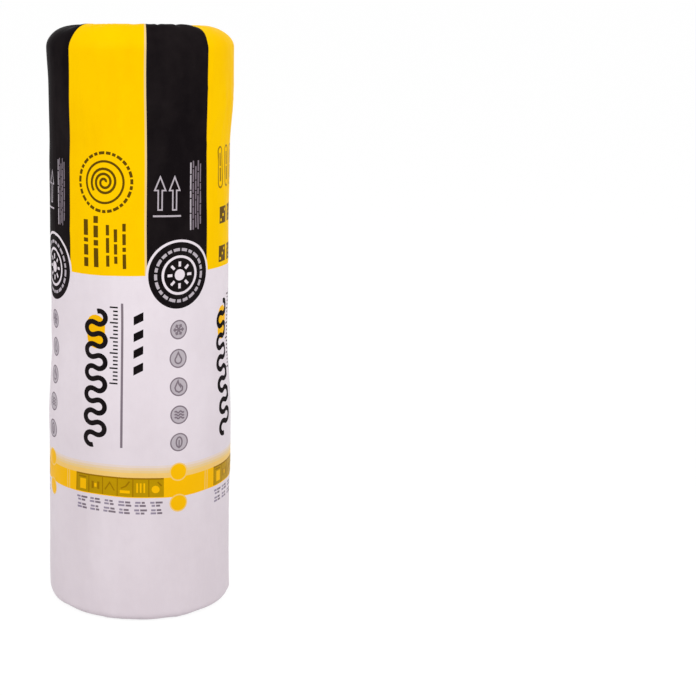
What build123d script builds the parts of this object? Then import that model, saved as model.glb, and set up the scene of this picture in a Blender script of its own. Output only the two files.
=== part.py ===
"""Roll of mineral wool insulation, wound tight and wrapped in film, standing on its end.

Millimetres. The roll's axis is Z, its base is on Z = 0 and -Y is the front. Two pieces:
the wound wool with its eye and its spiral turns, and the film that holds it compressed.
"""

from build123d import *
import os
from math import cos, degrees, pi, sin

os.makedirs("parts", exist_ok=True)

# The roll as it stands, over the film
roll_height = 1200.0  # width of the blanket, with the film turned over both ends
base_radius = 192.0  # the foot has settled a little wider than the rest
waist_radius = 183.5
top_radius = 187.8
foot_height = 370.0  # straight, from the base up
taper_height = 200.0  # from the foot in to the waist
flare_height = 100.0  # from the waist out to the top
top_height = 140.0  # straight, down from the top
base_shoulder = 27.0  # rounding where the film turns over the ends
top_shoulder = 46.0
hidden_sides = 2  # a rounding that the film hides has this many flats

# Film
film_thickness = 0.8
film_gap = 0.3  # between the film and the wool all round
end_opening_diameter = 190.0  # left open where the film is gathered over each end
lap_width = 60.0  # the sheet's last edge lies this far over its first, at the back

# Wool
eye_diameter = 30.0  # the hole that the winding leaves at the centre
turn_pitch = 16.0  # thickness of the blanket, compressed in the roll
seam_width = 5.0  # opening of the seam between two turns on the roll's ends
seam_depth = 6.0
seam_lead = 0.25  # the cut's V starts above the end face by this share of its depth
seam_under_film = 10.0  # the seam runs on this far past the edge of the film


def flats_round(centre, radius, upward):
    """Points on a quarter circle, from the roll's side to its end face."""
    turns = [pi / 2 * step / hidden_sides for step in range(hidden_sides + 1)]
    return [
        (centre[0] + radius * cos(turn), centre[1] + upward * radius * sin(turn))
        for turn in turns
    ]


def skin_line(inset, hidden):
    """Outer line of the half section, from the edge of the base's flat to the top's."""
    foot = base_radius - inset
    waist = waist_radius - inset
    top = top_radius - inset
    low = inset
    high = roll_height - inset
    foot_round = base_shoulder - inset
    top_round = top_shoulder - inset
    foot_centre = (foot - foot_round, low + foot_round)
    top_centre = (top - top_round, high - top_round)
    side = [
        (foot, low + foot_round),
        (foot, foot_height),
        (waist, foot_height + taper_height),
        (waist, roll_height - top_height - flare_height),
        (top, roll_height - top_height),
        (top, high - top_round),
    ]
    with BuildLine() as skin:
        if hidden:
            Polyline(*reversed(flats_round(foot_centre, foot_round, -1)))
            Polyline(*side)
            Polyline(*flats_round(top_centre, top_round, 1))
        else:
            RadiusArc((foot_centre[0], low), side[0], -foot_round)
            Polyline(*side)
            RadiusArc(side[-1], (top_centre[0], high), -top_round)
    return skin.line


def half_section(inset, inner_radius, hidden=False):
    """Face on the XZ plane between the skin line and a vertical line at inner_radius."""
    skin = skin_line(inset, hidden)
    start = skin @ 0
    end = skin @ 1
    edges = list(skin.edges())
    edges.append(Edge.make_line(end, (inner_radius, end.Y)))
    edges.append(Edge.make_line((inner_radius, end.Y), (inner_radius, start.Y)))
    edges.append(Edge.make_line((inner_radius, start.Y), start))
    return make_face(Plane.XZ * Wire(edges))


# The film is one skin turned in over both ends, doubled where the sheet laps at the back
opening_radius = end_opening_diameter / 2
skin_section = half_section(0.0, opening_radius)
skin_section -= half_section(film_thickness, opening_radius, hidden=True)
film_wrapper = revolve(skin_section, Axis.Z, 360)

lap_angle = degrees(lap_width / waist_radius)
lap_height = roll_height - base_shoulder - top_shoulder
lap_reach = Pos(0, base_shoulder) * Rectangle(
    2 * base_radius + 2 * film_thickness, lap_height, align=(Align.CENTER, Align.MIN)
)
lap_section = half_section(-film_thickness, opening_radius) - half_section(0.0, opening_radius)
lap_section = lap_section & (Plane.XZ * lap_reach)
lap = revolve(lap_section, Axis.Z, lap_angle)
film_wrapper = film_wrapper + Rot(0, 0, 90 - lap_angle / 2) * lap
film_wrapper.label = "film_wrapper"
export_step(film_wrapper, "parts/film_wrapper.step")

# The wool is one turned body, bored at the eye, with a spiral seam cut into both ends
eye_radius = eye_diameter / 2
wool_inset = film_thickness + film_gap
wool_roll = revolve(half_section(wool_inset, eye_radius, hidden=True), Axis.Z, 360)


def seam_section(x, face_z, outward):
    """V of the seam at x on an end face; outward is 1 on the top face and -1 below."""
    rise = outward * seam_depth * seam_lead
    half_mouth = seam_width / 2 * (1 + seam_lead)
    left = (x - half_mouth, face_z + rise)
    right = (x + half_mouth, face_z + rise)
    bottom = (x, face_z - outward * seam_depth)
    outline = Polyline(left, right, bottom, close=True)
    return make_face(Plane.XZ * outline)


def spiral_seam(face_z, outward, end_radius):
    """Half turns about two centres, half a pitch apart, that join into one spiral."""
    half_turns = []
    radius = eye_radius
    while radius <= end_radius:
        side = -1 if len(half_turns) % 2 else 1
        centre = (1 - side) / 2 * turn_pitch / 2
        section = seam_section(centre + side * radius, face_z, outward)
        half_turns.append(revolve(section, Axis((centre, 0, 0), (0, 0, 1)), 180))
        radius += turn_pitch / 2
    return half_turns[0].fuse(*half_turns[1:])


seam_end = opening_radius + seam_under_film
wool_roll -= spiral_seam(wool_inset, -1, seam_end)
wool_roll -= spiral_seam(roll_height - wool_inset, 1, seam_end)
wool_roll.label = "wool_roll"
export_step(wool_roll, "parts/wool_roll.step")
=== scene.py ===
"""Roll of mineral wool insulation in printed film, standing on its end.

Lengths are millimetres up to the point where a mesh is made, and metres in the mesh. The
roll's axis is Z, its base is on Z = 0 and -Y is the front. Angles round the roll count
from the front towards +X.
"""

import logging
from dataclasses import dataclass, field
from enum import Enum
from math import cos, inf, pi, radians, sin

import bpy
import numpy as np
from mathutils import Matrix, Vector, noise
from mathutils.geometry import delaunay_2d_cdt


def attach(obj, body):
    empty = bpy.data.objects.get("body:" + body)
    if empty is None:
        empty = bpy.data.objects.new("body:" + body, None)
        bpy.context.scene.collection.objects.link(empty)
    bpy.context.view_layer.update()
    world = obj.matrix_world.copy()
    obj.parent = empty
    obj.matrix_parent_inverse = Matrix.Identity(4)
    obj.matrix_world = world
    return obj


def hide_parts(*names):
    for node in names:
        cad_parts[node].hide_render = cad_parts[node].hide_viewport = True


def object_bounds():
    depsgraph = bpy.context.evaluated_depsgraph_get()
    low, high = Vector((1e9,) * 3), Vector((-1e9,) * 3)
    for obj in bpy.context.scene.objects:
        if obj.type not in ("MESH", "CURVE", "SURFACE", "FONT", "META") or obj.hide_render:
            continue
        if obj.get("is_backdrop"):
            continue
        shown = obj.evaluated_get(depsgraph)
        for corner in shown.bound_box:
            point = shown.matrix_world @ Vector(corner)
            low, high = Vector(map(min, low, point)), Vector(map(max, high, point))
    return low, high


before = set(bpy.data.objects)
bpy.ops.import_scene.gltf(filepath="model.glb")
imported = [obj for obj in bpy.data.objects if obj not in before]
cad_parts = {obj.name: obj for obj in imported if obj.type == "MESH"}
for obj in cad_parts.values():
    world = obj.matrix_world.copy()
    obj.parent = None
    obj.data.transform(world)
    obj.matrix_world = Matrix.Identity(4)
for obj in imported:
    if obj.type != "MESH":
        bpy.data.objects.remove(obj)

log = logging.getLogger("insulation_roll")
BODY = "root"
MM = 0.001
SEED = 41
NOISE_MEAN = 0.5

Colour = tuple[int, int, int]
Pair = tuple[float, float]
Span = tuple[float, float]
Triple = tuple[float, float, float]
Edges = tuple[float, float, float, float]
Loop = np.ndarray
Shape = list[Loop]


def linear(colour: Colour) -> tuple[float, float, float, float]:
    """Turns an 8-bit display colour into the linear colour that a shader takes.

    Args:
        colour: red, green and blue from 0 to 255.

    Returns:
        The linear colour with an alpha of 1.
    """
    parts = (c / 255 for c in colour)
    red, green, blue = (
        p / 12.92 if p <= 0.04045 else ((p + 0.055) / 1.055) ** 2.4 for p in parts
    )
    return (red, green, blue, 1.0)


def smooth(value: np.ndarray, start: float, end: float) -> np.ndarray:
    """Eases numbers from 0 where they are at start to 1 where they are at end."""
    share = np.clip((value - start) / (end - start), 0.0, 1.0)
    return share * share * (3.0 - 2.0 * share)


def wrapped(angle: np.ndarray, radius: object, level: np.ndarray) -> np.ndarray:
    """Places round the roll's axis, at angles from the front, radii and heights."""
    return np.column_stack([radius * np.sin(angle), -radius * np.cos(angle), level])


def new_mesh(name: str, places: np.ndarray, faces: list) -> bpy.types.Mesh:
    """Makes a smooth-shaded mesh.

    Args:
        name: its name.
        places: its points in metres, one a row.
        faces: the points of each face.

    Returns:
        The mesh.
    """
    mesh = bpy.data.meshes.new(name)
    mesh.from_pydata(places.tolist(), [], faces)
    mesh.polygons.foreach_set("use_smooth", np.ones(len(faces), bool))
    mesh.update()
    return mesh


def placed(name: str, data: bpy.types.ID) -> bpy.types.Object:
    """Puts a mesh, a lamp or a camera into the scene.

    Args:
        name: the object's name.
        data: what it shows.

    Returns:
        The object, at the origin.
    """
    item = bpy.data.objects.new(name, data)
    bpy.context.collection.objects.link(item)
    return item


@dataclass(frozen=True)
class Swell:
    """Smooth random heights over places in space.

    Attributes:
        height: how high a swell is; few heights pass 0.7 of it.
        wide: how long a swell is along X and Y.
        tall: how long it is along Z; inf makes it the same at every level.
        shift: moves the pattern, so that two of them differ.
    """

    height: float
    wide: float
    tall: float
    shift: float

    def over(self, places: np.ndarray) -> np.ndarray:
        """The height at each place."""
        scaled = places / (self.wide, self.wide, self.tall) + self.shift
        return self.height * np.array([noise.noise(Vector(row)) for row in scaled.tolist()])


# Node trees


class Socket:
    """One output in a node tree, which can be used in Python sums."""

    def __init__(self, graph: "Graph", socket: bpy.types.NodeSocket | None) -> None:
        """Keeps the tree and the output."""
        self.graph = graph
        self.socket = socket

    def other(self, output: int | str) -> "Socket":
        """Another output of the same node, by place or name."""
        return Socket(self.graph, self.socket.node.outputs[output])

    def part(self, axis: int) -> "Socket":
        """A vector's X, Y or Z for an axis of 0, 1 or 2."""
        return self.graph.node("ShaderNodeSeparateXYZ", {}, {0: self}, axis)

    def clamped(self, low: object = 0.0, high: object = 1.0) -> "Socket":
        """The value, kept between low and high."""
        return self.graph.node("ShaderNodeClamp", {}, {"Value": self, "Min": low, "Max": high})

    def maths(self, operation: str, first: object, second: object) -> "Socket":
        """Adds one Math node on two values, each a number or a Socket."""
        return self.graph.node("ShaderNodeMath", {"operation": operation}, {0: first, 1: second})

    def __add__(self, other: object) -> "Socket":
        """self + other."""
        return self.maths("ADD", self, other)

    def __sub__(self, other: object) -> "Socket":
        """self - other."""
        return self.maths("SUBTRACT", self, other)

    def __rsub__(self, other: object) -> "Socket":
        """other - self."""
        return self.maths("SUBTRACT", other, self)

    def __mul__(self, other: object) -> "Socket":
        """self * other."""
        return self.maths("MULTIPLY", self, other)

    def __truediv__(self, other: object) -> "Socket":
        """self / other."""
        return self.maths("DIVIDE", self, other)

    def __rtruediv__(self, other: object) -> "Socket":
        """other / self."""
        return self.maths("DIVIDE", other, self)

    def __gt__(self, other: object) -> "Socket":
        """1 where self is greater than other, and else 0."""
        return self.maths("GREATER_THAN", self, other)

    def __lt__(self, other: object) -> "Socket":
        """1 where self is less than other, and else 0."""
        return self.maths("LESS_THAN", self, other)

    __radd__ = __add__
    __rmul__ = __mul__


class Graph:
    """A node tree that is written as Python."""

    def __init__(self, tree: bpy.types.NodeTree) -> None:
        """Keeps the tree and empties it."""
        self.tree = tree
        tree.nodes.clear()

    def node(
        self,
        kind: str,
        settings: dict[str, object] | None = None,
        values: dict[int | str, object] | None = None,
        output: int | str = 0,
    ) -> Socket:
        """Adds a node.

        Args:
            kind: the node's type.
            settings: its properties, which are set before its sockets.
            values: numbers, colours or Sockets for its inputs, by place or name.
            output: which of its outputs to return.

        Returns:
            That output, or an empty Socket where the node has none.
        """
        node = self.tree.nodes.new(kind)
        for name, value in (settings or {}).items():
            setattr(node, name, value)
        for key, value in (values or {}).items():
            if isinstance(value, Socket):
                self.tree.links.new(value.socket, node.inputs[key])
            else:
                node.inputs[key].default_value = value
        return Socket(self, node.outputs[output] if len(node.outputs) else None)

    def vector(self, x: object = 0.0, y: object = 0.0, z: object = 0.0) -> Socket:
        """Joins three numbers or Sockets into a vector."""
        return self.node("ShaderNodeCombineXYZ", {}, {0: x, 1: y, 2: z})

    def vector_maths(
        self, operation: str, values: dict[int | str, object], output: int = 0
    ) -> Socket:
        """Adds one Vector Math node, whose output 1 is its number."""
        return self.node("ShaderNodeVectorMath", {"operation": operation}, values, output)

    def blend(self, share: object, low: object, high: object) -> Socket:
        """Mixes two linear colours: a share of 0 gives low and 1 gives high."""
        return self.node("ShaderNodeMix", {"data_type": "RGBA"}, {0: share, 6: low, 7: high}, 2)

    def grain(self, place: Socket, scale: float, detail: float = 2.0, output: int = 0) -> Socket:
        """Adds a noise texture, scaled to the metre: a number near 0.5, or output 1, a colour."""
        values = {"Vector": place, "Scale": scale, "Detail": detail}
        return self.node("ShaderNodeTexNoise", {}, values, output)

    def place(self, scale: Triple = (1.0, 1.0, 1.0)) -> Socket:
        """Object coordinates, multiplied by a factor on each axis."""
        point = self.node("ShaderNodeTexCoord", output="Object")
        return self.node("ShaderNodeMapping", {}, {"Vector": point, "Scale": scale})

    def relief(self, height: Socket, depth: float, strength: float) -> Socket:
        """Adds a Bump node for a height from 0 to 1 and a depth in metres."""
        values = {"Height": height, "Distance": depth, "Strength": strength}
        return self.node("ShaderNodeBump", {}, values)

    def finish(self, **inputs: object) -> None:
        """Ends a material in a Principled shader.

        Args:
            inputs: its sockets' values, with _ for a space in their names.
        """
        values = {name.replace("_", " "): value for name, value in inputs.items()}
        shader = self.node("ShaderNodeBsdfPrincipled", {}, values)
        self.node("ShaderNodeOutputMaterial", {}, {"Surface": shader})


class GeometryGraph(Graph):
    """A Geometry Nodes tree with named inputs, which makes a plain mesh with a material."""

    def __init__(self, name: str, sizes: tuple[str, ...], starts: bool = False) -> None:
        """Makes the tree and its inputs.

        Args:
            name: the tree's name.
            sizes: the names of its inputs that are numbers.
            starts: True if it starts from a mesh.
        """
        super().__init__(bpy.data.node_groups.new(name, "GeometryNodeTree"))
        kinds = {"Geometry": "Geometry"} if starts else {}
        kinds |= {size: "Float" for size in sizes} | {"Material": "Material"}
        new_socket = self.tree.interface.new_socket
        for key, kind in kinds.items():
            new_socket(key, in_out="INPUT", socket_type=f"NodeSocket{kind}")
        new_socket("Geometry", in_out="OUTPUT", socket_type="NodeSocketGeometry")
        entry = self.node("NodeGroupInput")
        self.given = {key: entry.other(key) for key in kinds}

    def moved(self, geometry: Socket, offset: Socket) -> Socket:
        """Moves each point of a geometry by its own offset."""
        return self.node("GeometryNodeSetPosition", {}, {"Geometry": geometry, "Offset": offset})

    def tube(self, curve: Socket, profile: Socket) -> Socket:
        """Runs a profile along a curve and closes its ends."""
        values = {"Curve": curve, "Profile Curve": profile, "Fill Caps": True}
        return self.node("GeometryNodeCurveToMesh", {}, values)

    def from_axis(self, place: Socket) -> Socket:
        """How far places are from the roll's axis."""
        flat = self.vector_maths("MULTIPLY", {0: place, 1: (1.0, 1.0, 0.0)})
        return self.vector_maths("LENGTH", {0: flat}, 1)

    def close(self, geometry: Socket) -> None:
        """Ends the tree with real instances and the material.

        Args:
            geometry: what the tree has made.
        """
        real = self.node("GeometryNodeRealizeInstances", {}, {"Geometry": geometry})
        values = {"Geometry": real, "Material": self.given["Material"]}
        worn = self.node("GeometryNodeSetMaterial", {}, values)
        self.node("NodeGroupOutput", {}, {"Geometry": worn})

    def grow(
        self, name: str, mesh: bpy.types.Mesh, values: dict[str, object]
    ) -> bpy.types.Mesh:
        """Runs the tree.

        Args:
            name: a name for the result.
            mesh: what the tree starts from.
            values: the tree's inputs, by name.

        Returns:
            The result as a plain mesh.
        """
        carrier = placed(name, mesh)
        modifier = carrier.modifiers.new(name, "NODES")
        modifier.node_group = self.tree
        for item in self.tree.interface.items_tree:
            if item.in_out == "INPUT" and item.name in values:
                modifier[item.identifier] = values[item.name]
        depsgraph = bpy.context.evaluated_depsgraph_get()
        result = bpy.data.meshes.new_from_object(carrier.evaluated_get(depsgraph))
        carrier.modifiers.remove(modifier)
        bpy.data.objects.remove(carrier)
        result.name = name
        return result


def new_material(name: str) -> tuple[bpy.types.Material, Graph]:
    """Starts a material.

    Args:
        name: its name.

    Returns:
        The material and its empty tree.
    """
    material = bpy.data.materials.new(name)
    material.use_nodes = True
    return material, Graph(material.node_tree)


# Finishes


@dataclass(frozen=True)
class FilmFinish:
    """Polyethylene film under one ink, with soft blotches and a fine crinkle.

    Where painted_foot_shade is above 0, the darker blotch colour is painted in as shade from the
    painted shade height down to the foot, and the film grows paler above that height.
    Scales count to the metre, and the painted shade height and the crinkle's depth are metres.
    The weights say how much each noise adds to the blotches.
    """

    name: str
    colour: Colour
    blotch: Colour
    roughness: float = 0.42
    crinkle: float = 0.35
    mirror: float = 0.07
    painted_foot_shade: float = 0.0
    clouding: float = 1.0
    painted_shade_height: float = 0.55
    blotch_share: float = 0.36
    upright: Triple = (1.0, 1.0, 0.35)
    detail: float = 3.0
    cloud_scale: float = 11.0
    cloud_weight: float = 2.6
    haze_scale: float = 42.0
    haze_weight: float = 0.9
    haze_roughness: float = 0.22
    speck_scale: float = 520.0
    speck_weight: float = 0.5
    speck_roughness: float = 0.12
    speck_height: float = 0.05
    fold_scale: float = 85.0
    crease_scale: float = 60.0
    crease_height: float = 0.35
    crinkle_depth: float = 0.0009

    def material(self) -> bpy.types.Material:
        """Builds the material.

        Returns:
            The finished material.
        """
        material, graph = new_material(f"film_{self.name}")
        place, upright = graph.place(), graph.place(self.upright)
        cloud = graph.grain(upright, self.cloud_scale, self.detail) - NOISE_MEAN
        haze = graph.grain(place, self.haze_scale) - NOISE_MEAN
        speck = graph.grain(place, self.speck_scale)
        fleck = speck - NOISE_MEAN
        share = cloud * self.cloud_weight + haze * self.haze_weight + fleck * self.speck_weight
        share = share * self.clouding + self.blotch_share
        # Painted shade: the film grows darker towards the foot and paler above the shade height
        if self.painted_foot_shade:
            share = share + (self.painted_shade_height - place.part(2)) * self.painted_foot_shade
        fold = graph.grain(upright, self.fold_scale, self.detail)
        crease = graph.node(
            "ShaderNodeTexVoronoi",
            {"feature": "DISTANCE_TO_EDGE"},
            {"Vector": upright, "Scale": self.crease_scale},
        )
        height = fold + crease * self.crease_height + speck * self.speck_height
        graph.finish(
            Base_Color=graph.blend(share.clamped(), linear(self.colour), linear(self.blotch)),
            Roughness=self.roughness + haze * self.haze_roughness + fleck * self.speck_roughness,
            Specular_IOR_Level=self.mirror,
            Normal=graph.relief(height, self.crinkle_depth, self.crinkle),
        )
        return material


class Ink(Enum):
    """What is printed on the film; BARE is the milky film itself."""

    # The bare film's 1.15 is a painted shade that darkens it towards the foot
    BARE = FilmFinish("bare", (234, 224, 231), (220, 209, 216), 0.42, 0.35, 0.04, 1.15, 0.45)
    YELLOW = FilmFinish("yellow", (255, 203, 0), (252, 196, 0), 0.38, 0.3, 0.006)
    # The black's blotch colour is lighter than its ink: its blotches are painted soft reflection
    # patches over a slight real mottle, since the ink itself reflects almost nothing
    BLACK = FilmFinish("black", (22, 18, 20), (35, 30, 31), 0.36, 0.5, 0.0015)
    BAND = FilmFinish("band_yellow", (250, 189, 4), (245, 183, 3), 0.4, 0.25, 0.03)
    CREAM = FilmFinish("cream", (229, 212, 204), (226, 208, 198), 0.44, 0.25)
    SAND = FilmFinish("sand", (231, 207, 176), (228, 202, 168), 0.44, 0.25)
    STRAW = FilmFinish("straw", (234, 204, 148), (231, 199, 138), 0.44, 0.25)
    PEACH = FilmFinish("peach", (241, 201, 118), (239, 195, 109), 0.44, 0.25)
    OLIVE = FilmFinish("olive", (190, 148, 0), (176, 137, 0), 0.42, 0.25, 0.04)
    UMBER = FilmFinish("umber", (100, 73, 6), (90, 64, 4), 0.42, 0.25, 0.03)
    OCHRE = FilmFinish("ochre", (158, 116, 0), (150, 108, 0), 0.42, 0.25, 0.03)
    PALE = FilmFinish("pale_grey", (187, 178, 185), (178, 168, 177), 0.44)
    SLATE = FilmFinish("slate", (128, 116, 125), (118, 105, 117), 0.44)
    LILAC = FilmFinish("lilac", (152, 141, 157), (141, 130, 150), 0.44)


@dataclass(frozen=True)
class WoolFinish:
    """Mineral wool: matted salmon fibre with paler and darker flecks.

    Scales count to the metre, and the relief's depth is in metres. A light or a shade is
    the noise at which it starts and how fast it grows, below 0 as the noise falls.
    """

    name: str
    colour: Colour = (224, 160, 121)
    pale: Colour = (240, 201, 168)
    dark: Colour = (197, 121, 82)
    matted: Triple = (1.0, 1.0, 2.4)
    combed: Triple = (1.0, 1.0, 3.0)
    tuft_scale: float = 46.0
    tuft_detail: float = 5.0
    tuft_light: Pair = (0.48, 4.2)
    tuft_shade: Pair = (0.44, -3.0)
    strand_scale: float = 240.0
    strand_light: Pair = (0.5, 2.4)
    strand_shade: Pair = (0.46, -5.5)
    fibre_scale: float = 900.0
    fibre_detail: float = 3.0
    dark_share: float = 0.85
    roughness: float = 0.86
    roughness_spread: float = 0.2
    height_shares: Triple = (0.4, 0.4, 0.2)
    relief_strength: float = 0.8
    depth: float = 0.004

    @staticmethod
    def grown(noise_value: Socket, start: float, growth: float) -> Socket:
        """0 where a noise is at its start, and from there on by its growth."""
        return (noise_value - start) * growth

    def material(self) -> bpy.types.Material:
        """Builds the material.

        Returns:
            The finished material.
        """
        material, graph = new_material(self.name)
        matted = graph.place(self.matted)
        tuft = graph.grain(matted, self.tuft_scale, self.tuft_detail)
        strand = graph.grain(matted, self.strand_scale, self.tuft_detail)
        fibre = graph.grain(graph.place(self.combed), self.fibre_scale, self.fibre_detail)
        light = self.grown(tuft, *self.tuft_light) + self.grown(strand, *self.strand_light)
        shade = self.grown(strand, *self.strand_shade) + self.grown(tuft, *self.tuft_shade)
        colour = graph.blend(light.clamped(), linear(self.colour), linear(self.pale))
        darker = shade.clamped() * self.dark_share
        tufts_height, strands_height, fibres_height = self.height_shares
        height = tuft * tufts_height + strand * strands_height + fibre * fibres_height
        graph.finish(
            Base_Color=graph.blend(darker, colour, linear(self.dark)),
            Roughness=self.roughness + (fibre - NOISE_MEAN) * self.roughness_spread,
            Specular_IOR_Level=0.15,
            Sheen_Weight=0.1,
            Sheen_Roughness=0.6,
            Normal=graph.relief(height, self.depth, self.relief_strength),
        )
        return material


# Shape of the roll


@dataclass
class RollShape:
    """Outer line of the roll, which the film and the wool both follow."""

    height: float
    foot_radius: float
    waist_radius: float = 183.5
    top_radius: float = 187.8
    foot_height: float = 370.0
    taper_height: float = 200.0
    flare_height: float = 100.0
    top_height: float = 140.0
    foot_round: float = 18.0
    foot_spread: float = 2.6
    spread_top: float = 240.0
    top_round: float = 46.0
    top_reach: float = 64.0
    opening: float = 95.0
    lean: float = 2.7
    lean_lead: float = 40.0

    @property
    def top_base(self) -> float:
        """Where the top has its full width."""
        return self.height - self.top_height

    @property
    def waist_top(self) -> float:
        """Where the waist starts to widen towards the top."""
        return self.top_base - self.flare_height

    @property
    def low(self) -> float:
        """Where the side begins, above the rounding at the foot."""
        return self.foot_round

    @property
    def high(self) -> float:
        """Where the side ends, under the rounding at the top."""
        return self.height - self.top_round

    @property
    def top_bend(self) -> float:
        """Mean radius of the rounding at the top, which is wider than it is tall."""
        return (self.top_round + self.top_reach) / 2

    @property
    def reach(self) -> Span:
        """Finds where the sheet ends.

        Returns:
            Its lower and upper edge, measured along the roll's outer line.
        """
        foot_flat = self.foot_radius + self.foot_spread - self.foot_round - self.opening
        top_flat = self.top_radius - self.top_reach - self.opening
        below = self.low - self.foot_round * pi / 2 - foot_flat
        above = self.high + self.top_bend * pi / 2 + top_flat
        return below, above

    def upper(self, level: np.ndarray) -> np.ndarray:
        """Eases from 0 at the waist to 1 where the top is at its full width."""
        return smooth(level, self.waist_top - self.lean_lead, self.top_base)

    def leaned(self, places: np.ndarray) -> np.ndarray:
        """Moves the upper end a little aside, because a soft roll never stands quite true."""
        aside = self.lean * self.upper(places[:, 2])
        return places + np.outer(aside, (1.0, 0.0, 0.0))

    def side_radius(self, level: np.ndarray) -> np.ndarray:
        """Radius of the roll's side.

        Args:
            level: heights over the floor.

        Returns:
            The radius at each height.
        """
        taper = smooth(level, self.foot_height, self.foot_height + self.taper_height)
        flare = smooth(level, self.waist_top, self.top_base)
        spread = self.foot_spread * (1.0 - smooth(level, self.foot_round, self.spread_top))
        radius = self.foot_radius + (self.waist_radius - self.foot_radius) * taper
        return radius + spread + (self.top_radius - self.waist_radius) * flare

    def outline(self, run: np.ndarray) -> tuple[np.ndarray, ...]:
        """Follows the outer line from the base's opening over the side to the top's.

        Args:
            run: distances along the line; on the side it is the height.

        Returns:
            Radius, height, and the radial and upward parts of the outward normal.
        """
        foot = self.foot_radius + self.foot_spread - self.foot_round
        crown = self.top_radius - self.top_reach
        turn_low = np.clip((self.low - run) / self.foot_round, 0.0, pi / 2)
        turn_high = np.clip((run - self.high) / self.top_bend, 0.0, pi / 2)
        past_low = np.clip(self.low - self.foot_round * pi / 2 - run, 0.0, None)
        past_high = np.clip(run - self.high - self.top_bend * pi / 2, 0.0, None)
        under = foot + self.foot_round * np.cos(turn_low) - past_low
        over = crown + self.top_reach * np.cos(turn_high) - past_high
        bottom = self.low - self.foot_round * np.sin(turn_low)
        top = self.high + self.top_round * np.sin(turn_high)
        below, above = run < self.low, run > self.high
        radius = np.select([below, above], [under, over], self.side_radius(run))
        level = np.select([below, above], [bottom, top], run)
        tilt = np.arctan2(
            np.sin(turn_high) / self.top_round, np.cos(turn_high) / self.top_reach
        )
        turn = np.where(below, -turn_low, tilt)
        return radius, level, np.cos(turn), np.sin(turn)


# Print on the film

# Millimetres from point to point on a piece of a ring
ARC_STEP = 3.5
# Points on a circle for each millimetre of its radius
CIRCLE_POINTS = 1.6
# A corner sharper than this cosine of half its turn is blunted
SHARPEST_CORNER = 0.35


def around(x: float, y: float, radius: object, turn: np.ndarray) -> Loop:
    """Points round a centre, on a radius and at angles in radians."""
    return np.column_stack([x + radius * np.cos(turn), y + radius * np.sin(turn)])


def circle(x: float, y: float, radius: float, steps: int = 0) -> Loop:
    """A round outline, whose number of points follows its size where steps is 0."""
    count = steps or max(10, int(radius * CIRCLE_POINTS))
    return around(x, y, radius, np.arange(count) * 2 * pi / count)


def box(x0: float, x1: float, y0: float, y1: float) -> Loop:
    """An upright rectangle between two edges across the film and two up it."""
    return np.array([(x0, y0), (x1, y0), (x1, y1), (x0, y1)], float)


def capsule(x0: float, x1: float, y0: float, y1: float) -> Loop:
    """An upright bar with round ends.

    Args:
        x0: left edge.
        x1: right edge.
        y0: lower end.
        y1: upper end.

    Returns:
        Its points.
    """
    middle, radius = (x0 + x1) / 2, (x1 - x0) / 2
    turn = np.linspace(0.0, pi, 9)
    upper = around(middle, y1 - radius, radius, turn)
    return np.vstack([upper, around(middle, y0 + radius, -radius, turn)])


def stroke(path: object, width: float, closed: bool = False) -> Shape:
    """A line of even width.

    Args:
        path: the points along its middle.
        width: its width.
        closed: True if its end joins its start.

    Returns:
        One loop, or two where the line is closed.
    """
    path = np.asarray(path, float)
    ahead = np.roll(path, -1, 0) - path
    behind = path - np.roll(path, 1, 0)
    if not closed:
        ahead[-1], behind[0] = behind[-1], ahead[0]
    ahead /= np.linalg.norm(ahead, axis=1)[:, None]
    behind /= np.linalg.norm(behind, axis=1)[:, None]
    along = ahead + behind
    along /= np.linalg.norm(along, axis=1)[:, None]
    stretch = np.clip(np.sum(along * ahead, axis=1), SHARPEST_CORNER, 1.0)
    aside = np.column_stack([-along[:, 1], along[:, 0]]) / stretch[:, None] * width / 2
    left, right = path + aside, path - aside
    return [left, right] if closed else [np.vstack([left, right[::-1]])]


def sector(centre: Pair, radii: Pair, start: float, end: float) -> Loop:
    """A piece of a ring.

    Args:
        centre: the ring's centre.
        radii: its inner and outer radius.
        start: where the piece starts, in degrees.
        end: where it ends.

    Returns:
        Its points.
    """
    inner, outer = radii
    count = max(3, int(outer * radians(abs(end - start)) / ARC_STEP) + 2)
    turn = np.radians(np.linspace(start, end, count))
    return np.vstack([around(*centre, outer, turn), around(*centre, inner, turn)[::-1]])


def covered(spots: np.ndarray, loops: Shape) -> np.ndarray:
    """Tells which spots a shape covers.

    Args:
        spots: the places to test.
        loops: the shape's outlines.

    Returns:
        True for each spot inside an odd number of the outlines.
    """
    inside = np.zeros(len(spots), bool)
    for loop in loops:
        for (x0, y0), (x1, y1) in zip(loop.tolist(), np.roll(loop, -1, 0).tolist()):
            if y0 == y1:
                continue
            between = (spots[:, 1] >= min(y0, y1)) & (spots[:, 1] < max(y0, y1))
            crossing = x0 + (spots[:, 1] - y0) * (x1 - x0) / (y1 - y0)
            inside ^= between & (spots[:, 0] < crossing)
    return inside


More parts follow.
